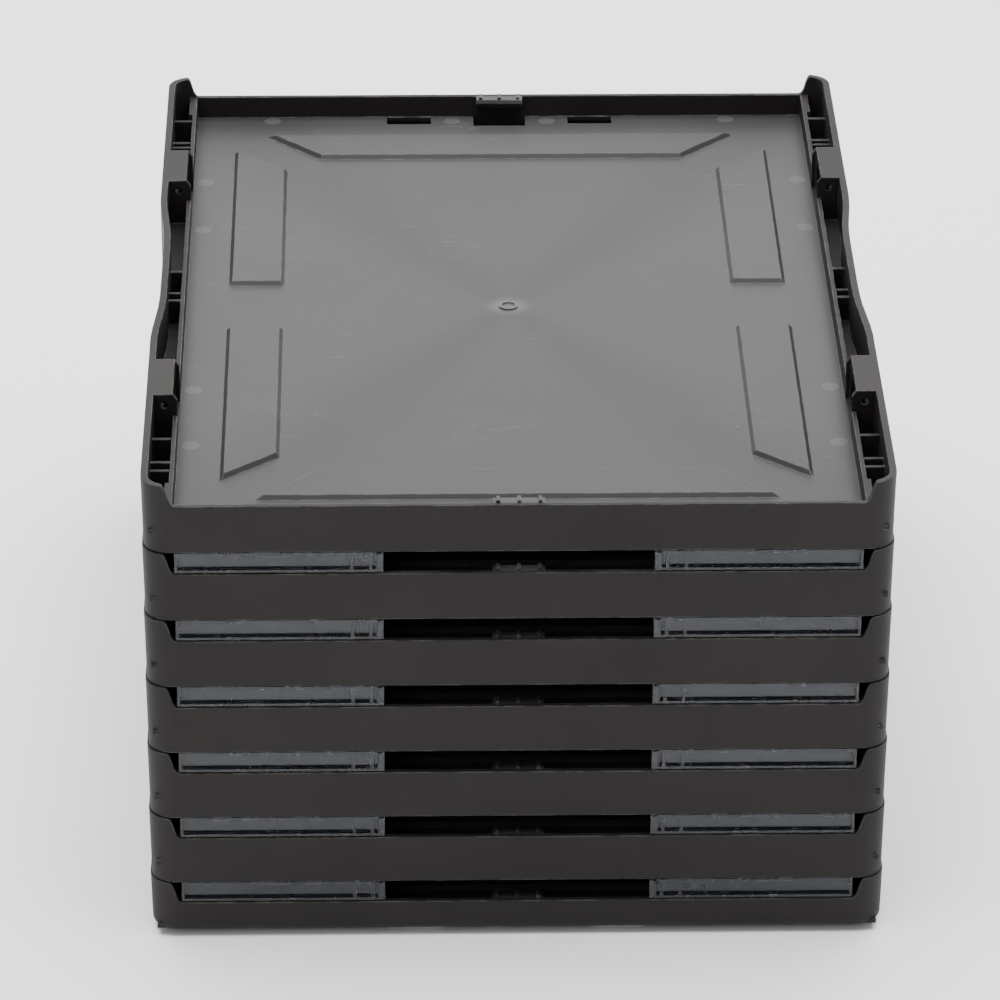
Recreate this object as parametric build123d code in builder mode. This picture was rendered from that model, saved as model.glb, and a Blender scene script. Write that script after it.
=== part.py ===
"""Folding storage crate tower, folded flat.

Seven moulded trays lie one above the other. Between each pair of trays there is a compartment
whose two clear side walls are each made of a lower and an upper half. The halves are hinged to
the tray below, to each other and to the tray above, and fold inwards as the tower goes down.
Origin: centre of the footprint, on the surface that the feet stand on. X is the width, -Y the front.
"""
import os
from math import atan2, degrees, hypot

from build123d import *

# ---------------------------------------------------------------- driving dimensions (mm)
compartments = 6
tray_width = 250.0
tray_depth = 345.0
corner_radius = 9.0
tier_pitch = 25.2          # from one deck to the next in the folded tower

# heights in a tray, measured from the top of its deck
post_top = 15.9            # corner posts and outer side walls
lip_top = 8.3              # front and rear lips and inner side walls
skirt_bottom = -8.9        # lower edge of an upper tray
base_bottom = -3.1         # lower edge of the thin base tray
deck_thickness = 1.8
draft = 0.5                # how far the walls lean in from their top to their lower edge

side_wall = 2.4
end_wall = 2.0
inner_wall = 1.5
inner_wall_face = 114.5    # deck side of the inner wall, from the centre
channel_floor_top = -1.0
channel_floor_bottom = -2.5
rib_thickness = 1.4
rib_top = 8.0
rib_places = (148.7, 128.3, 124.0, 13.5, -4.6, -10.6, -120.9, -138.5, -144.7)

foot_height = 2.4
foot_radius = 6.5
foot_place = (114.5, 160.5)
stem_radius = 2.0
stem_length = 1.6

# hinge axes: distance from the centre plane, height above the lower deck of the compartment
hinge_line = 118.9
lower_hinge_height = 12.0
fold_height = 16.3         # the plane in which the two wall halves lie against each other
half_reach = 72.5          # from a tray hinge to the middle hinge, along the folded wall

knuckle_radius = 1.8
rod_radius = 1.0
lug_radius = 1.7
pintle_radius = 1.1
running_clearance = 0.08
knuckle_count = 9
hinge_length = 336.6

block_near = 75.3          # hinge block along the side, from the middle of the tray
block_far = 103.3
bearing_plate = 3.8
block_top_plate = 2.0

# clear wall halves
wall_outer_end = 113.7     # swings past the hinge blocks' top corners
flange_outer_end = 114.2
lower_half_depth = 338.0
upper_half_depth = 337.0
lower_half_heights = (8.6, 16.0)
upper_half_heights = (16.6, 23.0)
sheet = 1.4
rim = 1.6
wall_rib = 1.2
rib_set_back = 0.8         # stiffening ribs stop short of the rim's edge
cross_ribs = (-112.0, -56.0, 0.0, 56.0, 112.0)
long_rib = 80.0
lug_gap = 0.8              # between a lug and the bearing plate beside it
lug_length = 8.5
pintle_reach = 3.2         # how far a pintle goes into its bearing plate
middle_gap = 0.3           # from the middle hinge axis to the edge of each half
knuckle_gap = 0.2
knuckle_room = 0.35
flange_inner_end = 45.0
flange_set_back = 0.7      # from the tray's end face
flange_web = 1.4
flange_lip = 1.0
flange_end_rib = 2.4
flange_gussets = (48.6, 54.8)

# hand hold in each side wall
hold_half_length = 66.0
hold_flat_half = 18.0
hold_bend_outer = 44.0
hold_bend_inner = 42.0
hold_depth = 2.4

# raised panels of the deck
panel_rise = 1.5
panel_bevel = 42
side_panel = ((99.7, 18.2), (79.8, 18.2), (79.8, 119.4), (99.7, 137.0))
end_panel = ((-67.5, 130.3), (67.5, 130.3), (88.0, 151.6), (-88.0, 151.6))

# snap catch in the middle of each end lip, and the mould openings under it
catch_half_width = 8.65
catch_reach = 4.4
catch_nose = 0.8
catch_nose_drop = 1.2
catch_under_drop = 3.0
catch_height = 4.0
catch_root = 1.6
catch_ribs = (-7.0, 0.0, 7.0)
catch_rib_half = 0.6
catch_rib_length = 3.4
catch_rib_rise = 0.9
catch_opening = (9.8, 8.9)
slot_span = (25.9, 42.6)
slot_reach = (7.1, 0.4)

# step of an end wall from its corner post down to its lip
step_top_x = 118.6
step_foot_x = 113.8
step_top_pull = 116.0
step_foot_pull = 116.8

# small features of a tray
gusset_depth = 1.5
gusset_drop = 2.2
hinge_gap = 0.5            # between a hinge block and the inner wall on each side of it
hanging_drop = 8.4
corner_box_start = 154.5
corner_box_width = 1.3
base_edge_radius = 2.6
gate_ring = (3.4, 2.4, 0.5)
foot_seat_rim = 1.2
foot_chamfer = 0.6
rod_chamfer = 0.3
overlap = 0.2              # how far joined features run into each other

foot_to_base_deck = foot_height - base_bottom
middle_hinge = hinge_line - half_reach
upper_hinge_height = 2 * fold_height - lower_hinge_height
channel_outer = tray_width / 2 - side_wall
lip_inner_face = tray_depth / 2 - end_wall
channel_inner = inner_wall_face + inner_wall


def deck_height(tier):
    """Height of a tray's deck top above the floor; tier 0 is the base."""
    return foot_to_base_deck + tier * tier_pitch


def cylinder_along_y(x, z, radius, y_low, y_high, mode=Mode.ADD):
    """A round bar parallel to the hinge axes."""
    with BuildSketch(Plane.XZ.offset(-y_high)) as profile:
        with Locations((x, z)):
            Circle(radius)
    extrude(profile.sketch, amount=y_high - y_low, mode=mode)


def block(x_range, y_range, z_range, mode=Mode.ADD):
    """A rectangular block between three pairs of limits."""
    centre = [(low + high) / 2 for low, high in (x_range, y_range, z_range)]
    size = [high - low for low, high in (x_range, y_range, z_range)]
    with Locations(tuple(centre)):
        Box(*size, mode=mode)


def scoop(side, face, depth, bottom, mode):
    """The shallow hand hold in the middle of a side wall, as a curve in plan."""
    outer = side * face
    inner = side * (face - depth)
    with BuildSketch(Plane.XY.offset((bottom + post_top) / 2)) as profile:
        with BuildLine():
            for end in (1, -1):
                Bezier(
                    (outer, end * hold_half_length),
                    (outer, end * hold_bend_outer),
                    (inner, end * hold_bend_inner),
                    (inner, end * hold_flat_half),
                )
            Line((inner, hold_flat_half), (inner, -hold_flat_half))
            Line((outer, -hold_half_length), (outer, hold_half_length))
        make_face()
    extrude(profile.sketch, amount=(post_top - bottom) / 2, both=True, mode=mode)


def raised_panels():
    """Six low plateaus pressed up in the deck: two along each side and one at each end."""
    with BuildSketch() as profile:
        for side in (-1, 1):
            for end in (-1, 1):
                corners = [(side * x, end * y) for x, y in side_panel]
                with BuildLine():
                    Polyline(corners if side * end < 0 else corners[::-1], close=True)
                make_face()
        for end in (-1, 1):
            corners = [(end * x, end * y) for x, y in end_panel]
            with BuildLine():
                Polyline(corners, close=True)
            make_face()
    extrude(profile.sketch, amount=panel_rise, taper=panel_bevel)


def end_catch(end):
    """The snap catch in the middle of an end lip, the mould opening under it and two slots."""
    wall = lip_inner_face
    nose = wall - catch_reach
    with BuildSketch(Plane.YZ) as profile:
        with BuildLine():
            Polyline(
                (end * (wall + overlap), lip_top),
                (end * (nose + catch_nose), lip_top),
                (end * nose, lip_top - catch_nose_drop),
                (end * (nose + catch_nose / 2), lip_top - catch_under_drop),
                (end * (wall - catch_root), lip_top - catch_height),
                (end * (wall + overlap), lip_top - catch_height),
                close=True,
            )
        make_face()
    extrude(profile.sketch, amount=catch_half_width, both=True)
    for place in catch_ribs:
        inner, outer = sorted((end * (wall - catch_rib_length), end * (wall + overlap)))
        x_range = (place - catch_rib_half, place + catch_rib_half)
        block(x_range, (inner, outer), (lip_top - overlap, lip_top + catch_rib_rise))
    half_width, length = catch_opening
    inner, outer = sorted((end * (wall - length), end * wall))
    block((-half_width, half_width), (inner, outer), (-deck_thickness, 0), Mode.SUBTRACT)
    inner, outer = sorted(end * (wall - reach) for reach in slot_reach)
    for side in (-1, 1):
        near, far = sorted(side * place for place in slot_span)
        block((near, far), (inner, outer), (-deck_thickness, 0), Mode.SUBTRACT)


def hinge_block(side, end):
    """A bearing block over the channel: a top pad on two plates with a bearing hole in each."""
    low, high = sorted((side * channel_inner, side * (channel_outer + overlap)))
    near, far = sorted((end * block_near, end * block_far))
    pad_bottom = post_top - block_top_plate
    block((low, high), (near, far), (pad_bottom, post_top))
    for place in (near, far - bearing_plate):
        y_range = (place, place + bearing_plate)
        block((low, high), y_range, (channel_floor_top - overlap, pad_bottom + overlap))
    gusset_face = channel_inner - gusset_depth
    for place in (near, far - rib_thickness):
        with BuildSketch(Plane.XZ.offset(-(place + rib_thickness / 2))) as profile:
            with BuildLine():
                Polyline(
                    (side * channel_inner, post_top),
                    (side * gusset_face, post_top - gusset_drop),
                    (side * gusset_face, 0),
                    (side * channel_inner, 0),
                    close=True,
                )
            make_face()
        extrude(profile.sketch, amount=rib_thickness / 2, both=True)
    hole = pintle_radius + running_clearance
    cylinder_along_y(side * hinge_line, lower_hinge_height, hole, near - 1, far + 1, Mode.SUBTRACT)


def hanging_block(side, end):
    """The same bearing under the channel floor, for the wall half that hangs from this tray."""
    low, high = sorted((side * channel_inner, side * (channel_outer + overlap)))
    near, far = sorted((end * block_near, end * block_far))
    for place in (near, far - bearing_plate):
        y_range = (place, place + bearing_plate)
        block((low, high), y_range, (-hanging_drop, channel_floor_bottom + overlap))
    hole = pintle_radius + running_clearance
    height = upper_hinge_height - tier_pitch
    cylinder_along_y(side * hinge_line, height, hole, near - 1, far + 1, Mode.SUBTRACT)


def make_tray(bottom, hanging):
    """One tray moulding, with the top of its deck at height 0."""
    with BuildPart() as tray:
        with BuildSketch(Plane.XY.offset(bottom)):
            RectangleRounded(tray_width - 2 * draft, tray_depth - 2 * draft, corner_radius - draft)
        with BuildSketch(Plane.XY.offset(post_top)):
            RectangleRounded(tray_width, tray_depth, corner_radius)
        loft()
        if not hanging:
            fillet(tray.edges().group_by(Axis.Z)[0], base_edge_radius)
        for side in (-1, 1):
            scoop(side, tray_width / 2 + overlap / 2, hold_depth, bottom, Mode.SUBTRACT)
        with BuildSketch(Plane.XY.offset(bottom)):
            RectangleRounded(2 * channel_outer, 2 * lip_inner_face, corner_radius - side_wall)
        extrude(amount=post_top - bottom, mode=Mode.SUBTRACT)

        # the end walls drop from the corner posts to the lips in a smooth step
        with BuildSketch(Plane.XZ):
            with BuildLine():
                for side in (-1, 1):
                    Bezier(
                        (side * step_top_x, post_top),
                        (side * step_top_pull, post_top),
                        (side * step_foot_pull, lip_top),
                        (side * step_foot_x, lip_top),
                    )
                Line((-step_foot_x, lip_top), (step_foot_x, lip_top))
                Line((-step_top_x, post_top), (step_top_x, post_top))
            make_face()
        extrude(amount=tray_depth, both=True, mode=Mode.SUBTRACT)

        reach = lip_inner_face + overlap
        block((-channel_inner, channel_inner), (-reach, reach), (-deck_thickness, 0))
        for side in (-1, 1):
            low, high = sorted((side * inner_wall_face, side * (channel_outer + overlap)))
            block((low, high), (-reach, reach), (channel_floor_bottom, channel_floor_top))
            low, high = sorted((side * inner_wall_face, side * channel_inner))
            block((low, high), (-reach, reach), (channel_floor_bottom, lip_top))
            scoop(side, channel_outer + overlap / 2, hold_depth, channel_floor_top, Mode.ADD)
            for end in (-1, 1):
                near, far = sorted((end * (block_near - hinge_gap), end * (block_far + hinge_gap)))
                block((low, high), (near, far), (0, lip_top), Mode.SUBTRACT)
                near, far = sorted((end * corner_box_start, end * reach))
                box_x = sorted((side * inner_wall_face, side * (channel_inner + corner_box_width)))
                block(box_x, (near, far), (channel_floor_top, lip_top))
            for place in rib_places:
                low_x, high_x = sorted((side * channel_inner, side * (channel_outer + overlap)))
                y_range = (place - rib_thickness / 2, place + rib_thickness / 2)
                block((low_x, high_x), y_range, (channel_floor_top, rib_top))
            for end in (-1, 1):
                hinge_block(side, end)
                if hanging:
                    hanging_block(side, end)
        raised_panels()
        for end in (-1, 1):
            end_catch(end)
        ring_outer, ring_inner, ring_height = gate_ring
        with BuildSketch():
            Circle(ring_outer)
            Circle(ring_inner, mode=Mode.SUBTRACT)
        extrude(amount=ring_height)
        if not hanging:
            with BuildSketch(Plane.XY.offset(base_bottom)):
                with GridLocations(2 * foot_place[0], 2 * foot_place[1], 2, 2):
                    Circle(foot_radius + foot_seat_rim)
            extrude(amount=-base_bottom - overlap)
            with BuildSketch(Plane.XY.offset(base_bottom)):
                with GridLocations(2 * foot_place[0], 2 * foot_place[1], 2, 2):
                    Circle(stem_radius + running_clearance)
            extrude(amount=stem_length + overlap, mode=Mode.SUBTRACT)
    return tray.part


def knuckle_spans(is_lower):
    """The stretches of the middle hinge that one wall half owns; the other half owns the rest."""
    step = hinge_length / knuckle_count
    start = -hinge_length / 2
    wanted = range(0 if is_lower else 1, knuckle_count, 2)
    return [(start + i * step, start + (i + 1) * step) for i in wanted]


def wall_half(is_lower):
    """One clear half of the right-hand wall, in the folded place, above a lower deck at height 0."""
    z_low, z_high = lower_half_heights if is_lower else upper_half_heights
    depth = lower_half_depth if is_lower else upper_half_depth
    hinge_z = lower_hinge_height if is_lower else upper_hinge_height
    y_end = depth / 2
    x_in = middle_hinge + middle_gap
    x_out = wall_outer_end
    sheet_z = (z_low, z_low + sheet) if is_lower else (z_high - sheet, z_high)
    rib_z = (z_low, z_high - rib_set_back) if is_lower else (z_low + rib_set_back, z_high)
    with BuildPart() as half:
        block((x_in, x_out), (-y_end, y_end), sheet_z)
        block((x_in, x_in + rim), (-y_end, y_end), (z_low, z_high))
        block((x_out - rim, x_out), (-y_end, y_end), (z_low, z_high))
        for end in (-1, 1):
            near, far = sorted((end * (y_end - rim), end * y_end))
            block((x_in, x_out), (near, far), (z_low, z_high))
        for place in cross_ribs:
            block((x_in, x_out), (place - wall_rib / 2, place + wall_rib / 2), rib_z)
        block((long_rib - wall_rib / 2, long_rib + wall_rib / 2), (-y_end, y_end), rib_z)
        if is_lower:
            for end in (-1, 1):
                edge_flange(end, y_end, z_low, z_high)

        # lugs with pintles that turn in the bearing plates of the tray's hinge blocks
        lug_z = (hinge_z - lug_radius, hinge_z + lug_radius)
        for end in (-1, 1):
            for edge, away in ((block_near, -1), (block_far, 1)):
                root = edge + away * lug_gap
                near, far = sorted((end * root, end * (root + away * lug_length)))
                block((x_out - rim, hinge_line), (near, far), lug_z)
                cylinder_along_y(hinge_line, hinge_z, lug_radius, near, far)
                near, far = sorted((end * root, end * (edge - away * pintle_reach)))
                cylinder_along_y(hinge_line, hinge_z, pintle_radius, near, far)

        # knuckles of the middle hinge, and room for the other half's knuckles
        room = knuckle_radius + knuckle_room
        for low, high in knuckle_spans(not is_lower):
            y_range = (low - knuckle_gap, high + knuckle_gap)
            cylinder_along_y(middle_hinge, fold_height, room, *y_range, Mode.SUBTRACT)
        for low, high in knuckle_spans(is_lower):
            y_range = (low + knuckle_gap, high - knuckle_gap)
            cylinder_along_y(middle_hinge, fold_height, knuckle_radius, *y_range)
        hole = rod_radius + running_clearance
        cylinder_along_y(middle_hinge, fold_height, hole, -depth, depth, Mode.SUBTRACT)
    return half.part


def edge_flange(end, y_start, z_low, z_high):
    """The channel-shaped edge that fills the slot between two trays, with its small gussets."""
    near, far = sorted((end * (y_start - overlap), end * (y_start + flange_web)))
    block((flange_inner_end, flange_outer_end), (near, far), (z_low, z_high))
    near, far = sorted((end * y_start, end * (tray_depth / 2 - flange_set_back)))
    for bottom in (z_low, z_high - flange_lip):
        block((flange_inner_end, flange_outer_end), (near, far), (bottom, bottom + flange_lip))
    ribs = [(place, place + wall_rib) for place in flange_gussets]
    ribs.append((flange_inner_end, flange_inner_end + flange_end_rib))
    ribs.append((flange_outer_end - flange_lip, flange_outer_end))
    for x_range in ribs:
        block(x_range, (near, far), (z_low, z_high))


os.makedirs("parts", exist_ok=True)


def write(piece, name):
    """Label a finished piece and write it under the same name."""
    piece.label = name
    export_step(piece, f"parts/{name}.step")


# ---------------------------------------------------------------- trays
base_part = make_tray(base_bottom, hanging=False)
write(base_part.moved(Location((0, 0, deck_height(0)))), "base_tray")
tray_part = make_tray(skirt_bottom, hanging=True)
for tier in range(1, compartments + 1):
    write(tray_part.moved(Location((0, 0, deck_height(tier)))), f"tray_{tier}")

# ---------------------------------------------------------------- feet under the base tray
for front, y_sign in (("front", -1), ("rear", 1)):
    for hand, x_sign in (("left", -1), ("right", 1)):
        with BuildPart() as foot:
            with BuildSketch():
                with Locations((x_sign * foot_place[0], y_sign * foot_place[1])):
                    Circle(foot_radius)
            extrude(amount=foot_height)
            chamfer(foot.edges().group_by(Axis.Z)[0], foot_chamfer)
            with BuildSketch(Plane.XY.offset(foot_height)):
                with Locations((x_sign * foot_place[0], y_sign * foot_place[1])):
                    Circle(stem_radius)
            extrude(amount=stem_length)
        write(foot.part, f"foot_{front}_{hand}")

# ---------------------------------------------------------------- clear folding walls and their rods
with BuildPart() as rod:
    cylinder_along_y(middle_hinge, fold_height, rod_radius, -hinge_length / 2, hinge_length / 2)
    chamfer(rod.edges().filter_by(GeomType.CIRCLE), rod_chamfer)

right_pieces = {"lower_wall": wall_half(True), "upper_wall": wall_half(False), "wall_rod": rod.part}
for cell in range(1, compartments + 1):
    place = Location((0, 0, deck_height(cell - 1)))
    for kind, piece in right_pieces.items():
        write(piece.moved(place), f"right_{kind}_{cell}")
        write(mirror(piece, about=Plane.YZ).moved(place), f"left_{kind}_{cell}")

print("overall height", deck_height(compartments) + post_top)
print("half length", hypot(half_reach, fold_height - lower_hinge_height))
print("folded angle", degrees(atan2(fold_height - lower_hinge_height, half_reach)))
print("lift of one tier", 2 * half_reach - (upper_hinge_height - lower_hinge_height))
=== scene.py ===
"""Looks, studio and camera for the folding storage crate tower.

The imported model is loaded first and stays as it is. Each operator below gives one group of
pieces its finish, and the last one sets up the floor, the lights and the camera.
"""
import math

import bpy
from bpy.props import FloatProperty, FloatVectorProperty, PointerProperty
from mathutils import Matrix, Vector


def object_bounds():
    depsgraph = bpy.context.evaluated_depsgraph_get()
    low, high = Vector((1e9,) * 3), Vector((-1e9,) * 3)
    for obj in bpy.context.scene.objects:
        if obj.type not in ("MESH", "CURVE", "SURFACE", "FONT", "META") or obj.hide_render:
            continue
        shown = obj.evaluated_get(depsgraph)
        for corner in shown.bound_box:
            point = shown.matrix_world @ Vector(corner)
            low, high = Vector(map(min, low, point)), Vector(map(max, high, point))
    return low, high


bl_info = {
    "name": "Folding crate tower",
    "version": (1, 0, 0),
    "blender": (4, 5, 0),
    "location": "3D View > Sidebar > Crate",
    "description": "Finishes and studio for a folded tower of storage trays",
    "category": "Object",
}

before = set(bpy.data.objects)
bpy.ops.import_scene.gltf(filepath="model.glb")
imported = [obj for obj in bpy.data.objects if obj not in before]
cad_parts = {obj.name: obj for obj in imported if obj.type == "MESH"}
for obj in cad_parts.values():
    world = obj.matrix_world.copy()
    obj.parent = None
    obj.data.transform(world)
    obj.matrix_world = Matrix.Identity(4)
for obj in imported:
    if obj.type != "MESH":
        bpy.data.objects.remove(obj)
cad_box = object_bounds()

MM = 0.001

# places on a tray's deck, from its centre, the same on every tray
DECK_HALF_WIDTH = 0.1145
DECK_HALF_DEPTH = 0.1705
PIN_MARKS = ((0.110, 0.067), (0.110, 0.110), (0.086, 0.167), (0.018, 0.166))
PIN_RADIUS = 0.0034
PIN_BLUR = 0.3 * MM
GATE_RADIUS = 0.0032
GATE_GLOW_WIDTH = 6 * MM
DECK_EDGE_BLUR = 0.5 * MM
UPWARD = (0.4, 0.9)  # a face counts as deck while its normal's height goes from the first to the second

# how much each moulding mark lightens or darkens the deck
FLOW_CROSS_TONE = -0.2
FLOW_HALVES_TONE = 0.10
# painted highlight: the gate mark is made much lighter to stand in for the light it catches
GATE_HIGHLIGHT_TONE = 1.1
PIN_DISC_TONE = 0.6
PIN_RIM_TONE = -0.35
FLOW_SOFTENING = 0.03
FLOW_CROSS_WIDTH = 2.6
FLOW_HALVES_WIDTH = 1.5
GATE_GLOSS = 0.10
WORN_ROUGHNESS = 0.15
SCRATCHES_OFF_DECK = 0.04

# noises: cells in one metre, detail and roughness
BROAD_WAVES = (24.0, 2.0, 0.4)
WEAR_PATCHES = (160.0, 4.0, 0.65)
DUST_PATCHES = (17.0, 3.0, 0.6)
DECK_CLOUDS = (9.0, 3.0, 0.55)
WALL_CLOUDS = (30.0, 4.0, 0.6)
CLEAR_RIPPLE = (60.0, 1.0, 0.3)
CLEAR_CLOUDS = (26.0, 3.0, 0.5)
WIRE_STREAKS = (5200.0, 3.0, 0.6)
WIRE_STAINS = (70.0, 3.0, 0.6)
FOOT_DUST = (400.0, 3.0, 0.6)
MIDDLE = (0.3, 0.7)  # the part of a noise's range where most of its values lie

# hair scratches: turn, stretch and shift of each direction
SCRATCH_DIRECTIONS = ((0.5, 9.0, 0.0), (2.3, 13.0, 3.7), (1.25, 7.0, 8.1))
SCRATCH_CELLS = 130.0
SCRATCH_HALF_WIDTH = 0.006
SPECKS_PER_METRE = 420.0

# depths of the fine relief
TRAY_GRAIN_DEPTH = 0.00006
FOOT_GRAIN_DEPTH = 0.00008
RIPPLE_DEPTH = 0.00008
WIRE_LINE_DEPTH = 0.00001

CLEAR_EDGE_WIDTH = 0.0003
CLEAR_IOR = 1.49
DEEP_TINT = (0.10, 0.13, 0.19, 1.0)
DEEP_TINT_SHARE = 0.12
WIRE_STRETCH = (1.0, 0.02, 1.0)
STAINED_SHARE = 0.6
FOOT_GRAINS = 2600.0
FOOT_DUST_HEIGHT = 1.4 * MM
FOOT_DUST_COLOUR = (0.10, 0.098, 0.094, 1.0)

# studio: name, place, size and setting of each light
LIGHTS = (
    ("Back_softbox", (0.0, 1.7, 1.15), (3.2, 2.0), "back_power"),
    ("Top_softbox", (0.0, 0.1, 2.3), (2.4, 2.4), "top_power"),
    ("Front_softbox", (-1.3, -2.3, 1.6), (1.6, 1.6), "front_power"),
)
WHITE = (1.0, 1.0, 1.0, 1.0)
FLOOR_HALF = 6.0
FLOOR_ROUGHNESS = 0.85
SENSOR_WIDTH = 36.0
FAR_CLIP = 50.0


# ------------------------------------------------------------------ small tools for node trees
def node(tree, kind, **settings):
    """Add a node and set its own options."""
    made = tree.nodes.new(kind)
    for name, value in settings.items():
        setattr(made, name, value)
    return made


def feed(tree, socket, value):
    """Join an output to a socket, or write a plain value on it."""
    if isinstance(value, bpy.types.NodeSocket):
        tree.links.new(value, socket)
    else:
        socket.default_value = value


def calc(tree, operation, *values, clamp=False):
    """One math node."""
    made = node(tree, "ShaderNodeMath", operation=operation, use_clamp=clamp)
    for socket, value in zip(made.inputs, values):
        feed(tree, socket, value)
    return made.outputs[0]


def vector_calc(tree, operation, *values):
    """One vector math node, with its vector or value output."""
    made = node(tree, "ShaderNodeVectorMath", operation=operation)
    for socket, value in zip(made.inputs, values):
        feed(tree, socket, value)
    return made.outputs["Value" if operation in ("DOT_PRODUCT", "LENGTH") else "Vector"]


def fade(tree, value, start, end, low=0.0, high=1.0):
    """A smooth change from low to high while the value goes from start to end."""
    made = node(tree, "ShaderNodeMapRange", interpolation_type="SMOOTHSTEP")
    for name, number in (
        ("Value", value),
        ("From Min", start),
        ("From Max", end),
        ("To Min", low),
        ("To Max", high),
    ):
        feed(tree, made.inputs[name], number)
    return made.outputs["Result"]


def add_share(tree, total, mark, share):
    """A total with a share of a mark added to it."""
    return calc(tree, "ADD", total, calc(tree, "MULTIPLY", mark, share))


def length_of(tree, x, y):
    """The length of a flat vector."""
    squares = [calc(tree, "POWER", part, 2.0) for part in (x, y)]
    return calc(tree, "SQRT", calc(tree, "ADD", *squares))


def blend_colours(tree, factor, first, second, kind="MIX"):
    """Two colours mixed by a factor."""
    made = node(tree, "ShaderNodeMix", data_type="RGBA", blend_type=kind)
    feed(tree, made.inputs["Factor"], factor)
    feed(tree, made.inputs["A"], first)
    feed(tree, made.inputs["B"], second)
    return made.outputs["Result"]


def tinted(tree, colour, tone):
    """A colour made lighter or darker by a tone."""
    shade = node(tree, "ShaderNodeCombineColor")
    for socket in shade.inputs[:3]:
        feed(tree, socket, tone)
    return blend_colours(tree, 1.0, tuple(colour), shade.outputs[0], "MULTIPLY")


def cloud(tree, place, scale, detail=2.0, roughness=0.5):
    """The value of a noise texture at a place."""
    made = node(tree, "ShaderNodeTexNoise")
    feed(tree, made.inputs["Vector"], place)
    feed(tree, made.inputs["Scale"], scale)
    feed(tree, made.inputs["Detail"], detail)
    feed(tree, made.inputs["Roughness"], roughness)
    return made.outputs["Fac"]


def axes_of(tree, place):
    """The three parts of a place."""
    made = node(tree, "ShaderNodeSeparateXYZ")
    feed(tree, made.inputs[0], place)
    return made.outputs


def object_place(tree):
    """Where a point lies on its own piece, so that marks move with it."""
    return node(tree, "ShaderNodeTexCoord").outputs["Object"]


def new_group(name, inputs, outputs):
    """An empty shader node group with its sockets."""
    group = bpy.data.node_groups.new(name, "ShaderNodeTree")
    for label, kind, start in inputs:
        socket = group.interface.new_socket(label, in_out="INPUT", socket_type=kind)
        if start is not None:
            socket.default_value = start
    for label, kind in outputs:
        group.interface.new_socket(label, in_out="OUTPUT", socket_type=kind)
    return group, node(group, "NodeGroupInput"), node(group, "NodeGroupOutput")


def place_group(tree, group, **values):
    """Put a group into a material with its own values. Underscores stand for spaces."""
    made = node(tree, "ShaderNodeGroup", node_tree=group)
    for name, value in values.items():
        feed(tree, made.inputs[name.replace("_", " ")], value)
    return made.outputs


# ------------------------------------------------------------------ effects that materials share
def moulded_grain():
    """The fine matt texture that a spark-eroded mould leaves, with a slow waviness under it."""
    name = "Moulded grain"
    if name in bpy.data.node_groups:
        return bpy.data.node_groups[name]
    group, given, result = new_group(
        name,
        [("Grains per metre", "NodeSocketFloat", 1500.0), ("Waviness", "NodeSocketFloat", 0.3)],
        [("Height", "NodeSocketFloat"), ("Fleck", "NodeSocketFloat")],
    )
    place = object_place(group)
    fine = cloud(group, place, given.outputs["Grains per metre"], 3.0, 0.6)
    broad = cloud(group, place, *BROAD_WAVES)
    waves = calc(group, "MULTIPLY", broad, given.outputs["Waviness"])
    feed(group, result.inputs["Height"], calc(group, "ADD", fine, waves))
    feed(group, result.inputs["Fleck"], fade(group, fine, 0.35, 0.7))
    return group


def worn_edges():
    """Where edges stand out and rub pale, broken up so that the wear isn't even."""
    name = "Worn edges"
    if name in bpy.data.node_groups:
        return bpy.data.node_groups[name]
    group, given, result = new_group(
        name,
        [("Edge width", "NodeSocketFloat", 0.0006)],
        [("Mask", "NodeSocketFloat"), ("Soft normal", "NodeSocketVector")],
    )
    rounded = node(group, "ShaderNodeBevel", samples=4)
    feed(group, rounded.inputs["Radius"], given.outputs["Edge width"])
    shape = node(group, "ShaderNodeNewGeometry")
    same = vector_calc(group, "DOT_PRODUCT", rounded.outputs[0], shape.outputs["True Normal"])
    edge = fade(group, same, 0.995, 0.86)
    patches = fade(group, cloud(group, object_place(group), *WEAR_PATCHES), 0.40, 0.62)
    feed(group, result.inputs["Mask"], calc(group, "MULTIPLY", edge, patches))
    feed(group, result.inputs["Soft normal"], rounded.outputs[0])
    return group


def scratches():
    """Fine pale hair scratches in a few directions, each short and broken."""
    name = "Hair scratches"
    if name in bpy.data.node_groups:
        return bpy.data.node_groups[name]
    group, given, result = new_group(
        name, [("Amount", "NodeSocketFloat", 0.5)], [("Mask", "NodeSocketFloat")]
    )
    place = object_place(group)
    total = None
    for turn, stretch, shift in SCRATCH_DIRECTIONS:
        turned = node(group, "ShaderNodeMapping")
        feed(group, turned.inputs["Vector"], place)
        turned.inputs["Rotation"].default_value = (0.0, 0.0, turn)
        turned.inputs["Location"].default_value = (shift, shift, 0.0)
        long_way = SCRATCH_CELLS / stretch
        turned.inputs["Scale"].default_value = (long_way, SCRATCH_CELLS, long_way)
        lines = cloud(group, turned.outputs[0], 4.0, 2.0, 0.4)
        thin = calc(group, "ABSOLUTE", calc(group, "SUBTRACT", lines, 0.5))
        line = fade(group, thin, SCRATCH_HALF_WIDTH, 0.0)
        where = fade(group, cloud(group, place, 23.0 + shift, 2.0, 0.5), 0.60, 0.70)
        found = calc(group, "MULTIPLY", line, where)
        total = found if total is None else calc(group, "MAXIMUM", total, found)
    feed(group, result.inputs["Mask"], calc(group, "MULTIPLY", total, given.outputs["Amount"]))
    return group


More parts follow.
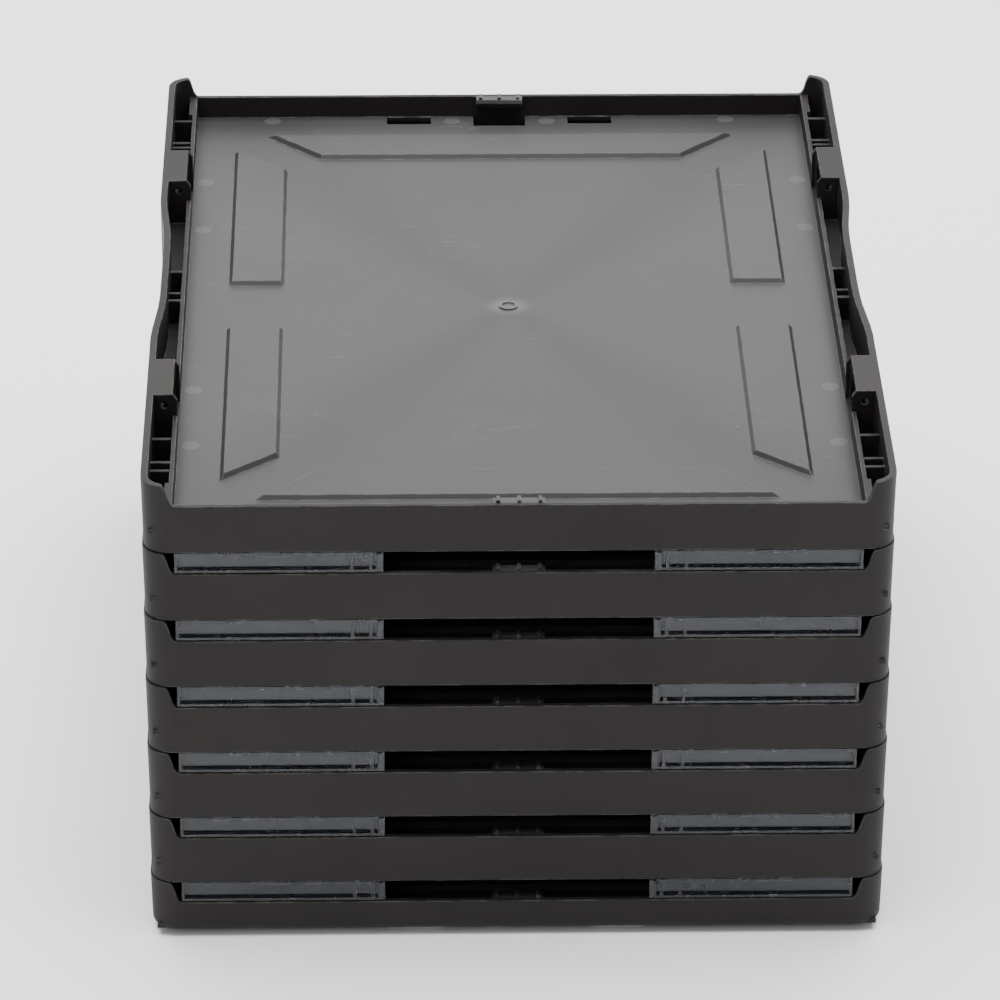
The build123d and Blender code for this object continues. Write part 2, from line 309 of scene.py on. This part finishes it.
def dust():
    """Specks of dust and small scuffs on faces that look upwards, thicker in some places."""
    name = "Dust"
    if name in bpy.data.node_groups:
        return bpy.data.node_groups[name]
    group, given, result = new_group(
        name, [("Amount", "NodeSocketFloat", 0.5)], [("Mask", "NodeSocketFloat")]
    )
    place = object_place(group)
    spots = node(group, "ShaderNodeTexVoronoi", feature="F1")
    feed(group, spots.inputs["Vector"], place)
    feed(group, spots.inputs["Scale"], SPECKS_PER_METRE)
    speck = fade(group, spots.outputs["Distance"], 0.16, 0.05)
    chosen = fade(group, axes_of(group, spots.outputs["Color"])[0], 0.90, 0.94)
    gather = fade(group, cloud(group, place, *DUST_PATCHES), 0.42, 0.68)
    facing = axes_of(group, node(group, "ShaderNodeNewGeometry").outputs["Normal"])[2]
    upward = fade(group, facing, 0.3, 0.9)
    settled = calc(group, "MULTIPLY", calc(group, "MULTIPLY", speck, chosen), gather)
    shown = calc(group, "MULTIPLY", calc(group, "MULTIPLY", settled, upward), given.outputs["Amount"])
    feed(group, result.inputs["Mask"], shown)
    return group


# ------------------------------------------------------------------ settings
class TrayFinish(bpy.types.PropertyGroup):
    """Charcoal plastic of the seven tray mouldings."""

    wall_colour: FloatVectorProperty(
        name="Wall colour", description="Plastic of the bands, lips and posts",
        subtype="COLOR", size=4, min=0.0, max=1.0, default=(0.0105, 0.0090, 0.0082, 1.0),
    )
    # painted sheen: the decks get a lighter colour than the walls to stand in for the back light's sheen on
    # these upward faces, not haze from use
    deck_sheen_colour: FloatVectorProperty(
        name="Deck colour", description="Plastic of the flat decks, a little hazed by use",
        subtype="COLOR", size=4, min=0.0, max=1.0, default=(0.034, 0.034, 0.0347, 1.0),
    )
    worn_colour: FloatVectorProperty(
        name="Worn colour", description="Rubbed edges, scratches and dust",
        subtype="COLOR", size=4, min=0.0, max=1.0, default=(0.24, 0.235, 0.225, 1.0),
    )
    wall_roughness: FloatProperty(
        name="Wall roughness", description="Matt finish of the bands", subtype="FACTOR",
        min=0.0, max=1.0, default=0.56,
    )
    deck_roughness: FloatProperty(
        name="Deck roughness", description="Satin finish of the decks", subtype="FACTOR",
        min=0.0, max=1.0, default=0.40,
    )
    grain: FloatProperty(
        name="Grain count", description="Grains of the moulded texture in one metre",
        min=200.0, max=6000.0, default=1500.0,
    )
    edge_width: FloatProperty(
        name="Edge width", description="Width of the rubbed band along an edge",
        subtype="DISTANCE", unit="LENGTH", min=0.0001, max=0.003, default=0.0006,
    )
    wear: FloatProperty(
        name="Wear", description="Strength of the rubbed edges", subtype="FACTOR",
        min=0.0, max=1.0, default=0.45,
    )
    scratch_amount: FloatProperty(
        name="Scratches", description="Strength of the hair scratches", subtype="FACTOR",
        min=0.0, max=1.0, default=0.35,
    )
    dust_amount: FloatProperty(
        name="Dust", description="Strength of the dust specks", subtype="FACTOR",
        min=0.0, max=1.0, default=0.5,
    )


class ClearFinish(bpy.types.PropertyGroup):
    """Smoky clear plastic of the folding walls."""

    tint: FloatVectorProperty(
        name="Tint", description="Colour of the clear plastic", subtype="COLOR",
        size=4, min=0.0, max=1.0, default=(0.13, 0.17, 0.24, 1.0),
    )
    rubbed_tint: FloatVectorProperty(
        name="Rubbed tint", description="Scuffed and dusty places", subtype="COLOR",
        size=4, min=0.0, max=1.0, default=(0.55, 0.58, 0.62, 1.0),
    )
    clearness: FloatProperty(
        name="Clearness", description="Share of the light that goes through",
        subtype="FACTOR", min=0.0, max=1.0, default=0.97,
    )
    roughness: FloatProperty(
        name="Roughness", description="Gloss of the moulded faces", subtype="FACTOR",
        min=0.0, max=1.0, default=0.14,
    )
    scratch_amount: FloatProperty(
        name="Scratches", description="Strength of the hair scratches", subtype="FACTOR",
        min=0.0, max=1.0, default=0.5,
    )


class SmallPartFinish(bpy.types.PropertyGroup):
    """Steel of the hinge rods and rubber of the feet."""

    steel_colour: FloatVectorProperty(
        name="Steel colour", description="Bright drawn wire", subtype="COLOR",
        size=4, min=0.0, max=1.0, default=(0.56, 0.56, 0.57, 1.0),
    )
    steel_roughness: FloatProperty(
        name="Steel roughness", description="Gloss of the wire", subtype="FACTOR",
        min=0.0, max=1.0, default=0.28,
    )
    rubber_colour: FloatVectorProperty(
        name="Rubber colour", description="Black rubber of the feet", subtype="COLOR",
        size=4, min=0.0, max=1.0, default=(0.010, 0.010, 0.011, 1.0),
    )
    rubber_roughness: FloatProperty(
        name="Rubber roughness", description="Matt finish of the feet", subtype="FACTOR",
        min=0.0, max=1.0, default=0.72,
    )


class StudioSettings(bpy.types.PropertyGroup):
    """Floor, lights and camera."""

    floor_colour: FloatVectorProperty(
        name="Floor colour", description="Pale paper under the tower", subtype="COLOR",
        size=4, min=0.0, max=1.0, default=(0.90, 0.90, 0.90, 1.0),
    )
    room_light: FloatProperty(
        name="Room light", description="Soft light from all round", min=0.0, max=5.0, default=0.48,
    )
    back_power: FloatProperty(
        name="Back light", description="Large soft light behind the tower", unit="POWER",
        min=0.0, max=2000.0, default=38.0,
    )
    top_power: FloatProperty(
        name="Top light", description="Large soft light above the tower", unit="POWER",
        min=0.0, max=2000.0, default=150.0,
    )
    front_power: FloatProperty(
        name="Front light", description="Soft light beside the camera", unit="POWER",
        min=0.0, max=2000.0, default=15.0,
    )
    camera_place: FloatVectorProperty(
        name="Camera place", description="Where the camera stands", subtype="TRANSLATION",
        unit="LENGTH", size=3, default=(-0.04455, -1.94328, 1.06597),
    )
    camera_turn: FloatVectorProperty(
        name="Camera turn", description="Turn to the side, tilt down and roll",
        subtype="EULER", unit="ROTATION", size=3,
        default=(math.radians(1.2329), math.radians(26.9098), math.radians(0.2132)),
    )
    lens: FloatProperty(
        name="Lens", description="Focal length of the camera", subtype="DISTANCE_CAMERA",
        unit="CAMERA", min=20.0, max=500.0, default=217.17,
    )


# ------------------------------------------------------------------ materials
def new_material(name):
    """An empty material with its surface shader and output."""
    material = bpy.data.materials.new(name)
    material.use_nodes = True
    tree = material.node_tree
    tree.nodes.clear()
    shader = node(tree, "ShaderNodeBsdfPrincipled")
    output = node(tree, "ShaderNodeOutputMaterial")
    tree.links.new(shader.outputs[0], output.inputs["Surface"])
    return material, tree, shader


def add_bump(tree, shader, height, distance, normal=None):
    """Raise the surface by a height pattern, over a softened normal if there is one."""
    bump = node(tree, "ShaderNodeBump")
    bump.inputs["Strength"].default_value = 1.0
    bump.inputs["Distance"].default_value = distance
    feed(tree, bump.inputs["Height"], height)
    if normal is not None:
        feed(tree, bump.inputs["Normal"], normal)
    feed(tree, shader.inputs["Normal"], bump.outputs[0])


def deck_marks(tree, across, along):
    """Round pin marks, the gate mark in the middle with its painted highlight and the flow of the plastic
    from it.
    """
    side = calc(tree, "ABSOLUTE", across)
    end = calc(tree, "ABSOLUTE", along)
    nearest = None
    for x, y in PIN_MARKS:
        away = length_of(tree, calc(tree, "SUBTRACT", side, x), calc(tree, "SUBTRACT", end, y))
        nearest = away if nearest is None else calc(tree, "MINIMUM", nearest, away)
    disc = fade(tree, nearest, PIN_RADIUS, PIN_RADIUS - PIN_BLUR)
    rim = calc(tree, "SUBTRACT", fade(tree, nearest, PIN_RADIUS + PIN_BLUR, PIN_RADIUS), disc)
    middle = length_of(tree, across, along)
    # the gate mark, which also carries a painted highlight: a light spot round the middle of the deck
    gate_and_highlight = fade(tree, middle, GATE_RADIUS + GATE_GLOW_WIDTH, GATE_RADIUS - MM)
    # the flow fronts meet in a faint cross that runs to the corners
    lean_across = calc(tree, "DIVIDE", side, DECK_HALF_WIDTH)
    lean_along = calc(tree, "DIVIDE", end, DECK_HALF_DEPTH)
    lean = calc(tree, "SUBTRACT", lean_across, lean_along)
    spread = calc(tree, "DIVIDE", lean, calc(tree, "ADD", middle, FLOW_SOFTENING))
    cross = fade(tree, calc(tree, "ABSOLUTE", spread), FLOW_CROSS_WIDTH, 0.0)
    halves = fade(tree, spread, -FLOW_HALVES_WIDTH, FLOW_HALVES_WIDTH)
    return disc, rim, gate_and_highlight, cross, halves


def inside(tree, value, half):
    """1 where a place is nearer to the middle than half, 0 beyond it."""
    return fade(tree, calc(tree, "ABSOLUTE", value), half + DECK_EDGE_BLUR, half - DECK_EDGE_BLUR)


def charcoal_plastic(finish):
    """Material of the trays: matt charcoal walls and a satin deck with its moulding marks and a painted
    sheen.
    """
    material, tree, shader = new_material("charcoal_plastic")
    place = object_place(tree)
    across, along, _ = axes_of(tree, place)
    up = axes_of(tree, node(tree, "ShaderNodeNewGeometry").outputs["True Normal"])[2]
    flat = calc(tree, "MULTIPLY", inside(tree, across, DECK_HALF_WIDTH), inside(tree, along, DECK_HALF_DEPTH))
    deck = calc(tree, "MULTIPLY", flat, fade(tree, up, *UPWARD))

    grain = place_group(tree, moulded_grain(), Grains_per_metre=finish.grain, Waviness=0.35)
    edges = place_group(tree, worn_edges(), Edge_width=finish.edge_width)
    lines = place_group(tree, scratches(), Amount=finish.scratch_amount)
    specks = place_group(tree, dust(), Amount=finish.dust_amount)
    disc, rim, gate_and_highlight, cross, halves = deck_marks(tree, across, along)

    # tone of the deck: slow clouds, the flow cross, the gate mark with its painted highlight and the pin
    # marks
    clouds = cloud(tree, place, *DECK_CLOUDS)
    tone = fade(tree, clouds, *MIDDLE, 0.92, 1.07)
    for mark, share in (
        (cross, FLOW_CROSS_TONE),
        (halves, FLOW_HALVES_TONE),
        (gate_and_highlight, GATE_HIGHLIGHT_TONE),
        (disc, PIN_DISC_TONE),
        (rim, PIN_RIM_TONE),
    ):
        tone = add_share(tree, tone, mark, share)
    # painted sheen: the deck colour is lighter than the wall colour to stand in for the sheen of the back
    # light on the decks
    deck_sheen_colour = tinted(tree, finish.deck_sheen_colour, tone)
    wall_tone = fade(tree, cloud(tree, place, *WALL_CLOUDS), *MIDDLE, 0.88, 1.12)
    wall_colour = tinted(tree, finish.wall_colour, wall_tone)
    colour = blend_colours(tree, deck, wall_colour, deck_sheen_colour)
    rubbed = calc(tree, "MULTIPLY", edges["Mask"], finish.wear)
    on_deck = calc(tree, "MULTIPLY", lines["Mask"], fade(tree, deck, 0.0, 1.0, SCRATCHES_OFF_DECK, 1.0))
    marks = calc(tree, "MAXIMUM", rubbed, calc(tree, "MAXIMUM", on_deck, specks["Mask"]))
    colour = blend_colours(tree, marks, colour, tuple(finish.worn_colour))
    feed(tree, shader.inputs["Base Color"], colour)

    rough = fade(tree, deck, 0.0, 1.0, finish.wall_roughness, finish.deck_roughness)
    rough = calc(tree, "ADD", rough, fade(tree, clouds, *MIDDLE, -0.03, 0.04))
    rough = add_share(tree, rough, marks, WORN_ROUGHNESS)
    rough = calc(tree, "SUBTRACT", rough, calc(tree, "MULTIPLY", gate_and_highlight, GATE_GLOSS), clamp=True)
    feed(tree, shader.inputs["Roughness"], rough)
    shader.inputs["Specular IOR Level"].default_value = 0.22
    add_bump(tree, shader, grain["Height"], TRAY_GRAIN_DEPTH, edges["Soft normal"])
    return material


def clear_plastic(finish):
    """Material of the folding walls: smoky clear moulding with fine handling marks."""
    material, tree, shader = new_material("clear_plastic")
    place = object_place(tree)
    ripple = cloud(tree, place, *CLEAR_RIPPLE)
    lines = place_group(tree, scratches(), Amount=finish.scratch_amount)
    edges = place_group(tree, worn_edges(), Edge_width=CLEAR_EDGE_WIDTH)
    clouds = cloud(tree, place, *CLEAR_CLOUDS)
    marks = calc(tree, "MAXIMUM", lines["Mask"], calc(tree, "MULTIPLY", edges["Mask"], 0.5))
    deep = fade(tree, clouds, 0.35, 0.7, 0.0, DEEP_TINT_SHARE)
    tint = blend_colours(tree, deep, tuple(finish.tint), DEEP_TINT)
    feed(tree, shader.inputs["Base Color"], blend_colours(tree, marks, tint, tuple(finish.rubbed_tint)))
    rough = calc(tree, "ADD", fade(tree, clouds, *MIDDLE, -0.03, 0.05), finish.roughness)
    rough = calc(tree, "ADD", rough, calc(tree, "MULTIPLY", marks, 0.3), clamp=True)
    feed(tree, shader.inputs["Roughness"], rough)
    shader.inputs["Transmission Weight"].default_value = finish.clearness
    shader.inputs["IOR"].default_value = CLEAR_IOR
    add_bump(tree, shader, ripple, RIPPLE_DEPTH, edges["Soft normal"])
    return material


def drawn_steel(finish):
    """Material of the hinge rods: drawn wire with fine lines along it."""
    material, tree, shader = new_material("steel_rod")
    place = object_place(tree)
    drawn = node(tree, "ShaderNodeMapping")
    feed(tree, drawn.inputs["Vector"], place)
    drawn.inputs["Scale"].default_value = WIRE_STRETCH
    streaks = cloud(tree, drawn.outputs[0], *WIRE_STREAKS)
    stains = fade(tree, cloud(tree, place, *WIRE_STAINS), 0.5, 0.75)
    steel = tuple(finish.steel_colour)
    stained = tuple(part * STAINED_SHARE for part in steel[:3]) + (1.0,)
    feed(tree, shader.inputs["Base Color"], blend_colours(tree, stains, steel, stained))
    rough = calc(tree, "ADD", fade(tree, streaks, *MIDDLE, -0.06, 0.10), finish.steel_roughness)
    feed(tree, shader.inputs["Roughness"], rough)
    shader.inputs["Metallic"].default_value = 1.0
    add_bump(tree, shader, streaks, WIRE_LINE_DEPTH)
    return material


def foot_rubber(finish):
    """Material of the feet: black rubber with a grain and floor dust on its lower edge."""
    material, tree, shader = new_material("rubber_foot")
    place = object_place(tree)
    grain = place_group(tree, moulded_grain(), Grains_per_metre=FOOT_GRAINS, Waviness=0.2)
    height = axes_of(tree, place)[2]
    low = fade(tree, height, FOOT_DUST_HEIGHT, 0.0)
    dusty = calc(tree, "MULTIPLY", low, fade(tree, cloud(tree, place, *FOOT_DUST), 0.4, 0.65, 0.0, 0.5))
    colour = blend_colours(tree, dusty, tuple(finish.rubber_colour), FOOT_DUST_COLOUR)
    feed(tree, shader.inputs["Base Color"], colour)
    rough = calc(tree, "ADD", fade(tree, grain["Fleck"], 0.0, 1.0, -0.06, 0.08), finish.rubber_roughness)
    feed(tree, shader.inputs["Roughness"], rough)
    add_bump(tree, shader, grain["Height"], FOOT_GRAIN_DEPTH)
    return material


def give(pieces, material):
    """Put one material on a list of CAD nodes."""
    for piece in pieces:
        piece.data.materials.clear()
        piece.data.materials.append(material)


def named(*words):
    """The CAD nodes whose name holds one of these words."""
    found = [piece for name, piece in sorted(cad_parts.items()) if any(word in name for word in words)]
    if not found:
        raise RuntimeError(f"no piece is named with {words}")
    return found


# ------------------------------------------------------------------ operators
class CRATE_OT_trays(bpy.types.Operator):
    """Give the base tray and the six upper trays their charcoal plastic"""

    bl_idname = "crate.trays"
    bl_label = "Finish trays"

    def execute(self, context):
        give(named("tray"), charcoal_plastic(context.scene.crate_trays))
        return {"FINISHED"}


class CRATE_OT_walls(bpy.types.Operator):
    """Give the folding wall halves their smoky clear plastic"""

    bl_idname = "crate.walls"
    bl_label = "Finish folding walls"

    def execute(self, context):
        give(named("_lower_wall_", "_upper_wall_"), clear_plastic(context.scene.crate_clear))
        return {"FINISHED"}


class CRATE_OT_rods(bpy.types.Operator):
    """Give the rods of the middle hinges their drawn steel"""

    bl_idname = "crate.rods"
    bl_label = "Finish hinge rods"

    def execute(self, context):
        give(named("_wall_rod_"), drawn_steel(context.scene.crate_small))
        return {"FINISHED"}


class CRATE_OT_feet(bpy.types.Operator):
    """Give the four feet their black rubber"""

    bl_idname = "crate.feet"
    bl_label = "Finish feet"

    def execute(self, context):
        give(named("foot_"), foot_rubber(context.scene.crate_small))
        return {"FINISHED"}


class CRATE_OT_studio(bpy.types.Operator):
    """Lay the pale floor, hang the soft lights and set up the camera"""

    bl_idname = "crate.studio"
    bl_label = "Set up studio"

    def execute(self, context):
        studio = context.scene.crate_studio
        lay_floor(studio)
        low, high = cad_box
        centre = Vector([(a + b) / 2 for a, b in zip(low, high)])
        for name, place, size, setting in LIGHTS:
            hang_light(name, place, centre, size, getattr(studio, setting))
        room = bpy.data.worlds.new("Room")
        room.use_nodes = True
        background = room.node_tree.nodes["Background"]
        background.inputs["Color"].default_value = WHITE
        background.inputs["Strength"].default_value = studio.room_light
        context.scene.world = room
        set_camera(context.scene, studio)
        return {"FINISHED"}


def lay_floor(studio):
    """A large plain sheet under the feet."""
    half = FLOOR_HALF
    mesh = bpy.data.meshes.new("Floor")
    corners = [(-half, -half, 0.0), (half, -half, 0.0), (half, half, 0.0), (-half, half, 0.0)]
    mesh.from_pydata(corners, [], [(0, 1, 2, 3)])
    floor = bpy.data.objects.new("Floor", mesh)
    bpy.context.scene.collection.objects.link(floor)
    material, _, shader = new_material("pale_floor")
    shader.inputs["Base Color"].default_value = tuple(studio.floor_colour)
    shader.inputs["Roughness"].default_value = FLOOR_ROUGHNESS
    shader.inputs["Specular IOR Level"].default_value = 0.2
    mesh.materials.append(material)


def hang_light(name, place, target, size, power):
    """A rectangular soft light that faces a point."""
    data = bpy.data.lights.new(name, "AREA")
    data.shape = "RECTANGLE"
    data.size, data.size_y = size
    data.energy = power
    light = bpy.data.objects.new(name, data)
    light.location = place
    light.rotation_euler = (target - Vector(place)).to_track_quat("-Z", "Y").to_euler()
    bpy.context.scene.collection.objects.link(light)


def set_camera(scene, studio):
    """The camera: in front of the short end and above it, with a long lens."""
    yaw, pitch, roll = studio.camera_turn
    level = math.cos(pitch)
    ahead = Vector((math.sin(yaw) * level, math.cos(yaw) * level, -math.sin(pitch)))
    right = Vector((math.cos(yaw), -math.sin(yaw), 0.0))
    up = right.cross(ahead)
    right_rolled = right * math.cos(roll) + up * math.sin(roll)
    up_rolled = up * math.cos(roll) - right * math.sin(roll)
    data = bpy.data.cameras.new("Camera")
    data.sensor_width = SENSOR_WIDTH
    data.lens = studio.lens
    data.clip_end = FAR_CLIP
    camera = bpy.data.objects.new("Camera", data)
    turn = Matrix((right_rolled, up_rolled, -ahead)).transposed()
    camera.matrix_world = Matrix.Translation(Vector(studio.camera_place)) @ turn.to_4x4()
    scene.collection.objects.link(camera)
    scene.camera = camera


# ------------------------------------------------------------------ panel
class CRATE_PT_looks(bpy.types.Panel):
    """Sidebar panel of the crate tower"""

    bl_idname = "CRATE_PT_looks"
    bl_label = "Crate tower"
    bl_space_type = "VIEW_3D"
    bl_region_type = "UI"
    bl_category = "Crate"

    def draw(self, context):
        groups = (
            (context.scene.crate_trays, CRATE_OT_trays),
            (context.scene.crate_clear, CRATE_OT_walls),
            (context.scene.crate_small, CRATE_OT_rods),
            (context.scene.crate_small, CRATE_OT_feet),
            (context.scene.crate_studio, CRATE_OT_studio),
        )
        for settings, operator in groups:
            box = self.layout.box()
            box.operator(operator.bl_idname)
            for name in settings.bl_rna.properties.keys():
                if name not in ("rna_type", "name"):
                    box.prop(settings, name)


CLASSES = (
    TrayFinish,
    ClearFinish,
    SmallPartFinish,
    StudioSettings,
    CRATE_OT_trays,
    CRATE_OT_walls,
    CRATE_OT_rods,
    CRATE_OT_feet,
    CRATE_OT_studio,
    CRATE_PT_looks,
)


def register():
    """Register the classes and hang the settings on the scene."""
    for cls in CLASSES:
        bpy.utils.register_class(cls)
    bpy.types.Scene.crate_trays = PointerProperty(type=TrayFinish)
    bpy.types.Scene.crate_clear = PointerProperty(type=ClearFinish)
    bpy.types.Scene.crate_small = PointerProperty(type=SmallPartFinish)
    bpy.types.Scene.crate_studio = PointerProperty(type=StudioSettings)


def unregister():
    """Take the settings and classes away again."""
    for name in ("crate_trays", "crate_clear", "crate_small", "crate_studio"):
        delattr(bpy.types.Scene, name)
    for cls in reversed(CLASSES):
        bpy.utils.unregister_class(cls)


def main():
    """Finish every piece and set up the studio."""
    register()
    bpy.ops.crate.trays()
    bpy.ops.crate.walls()
    bpy.ops.crate.rods()
    bpy.ops.crate.feet()
    bpy.ops.crate.studio()


if __name__ == "__main__":
    main()
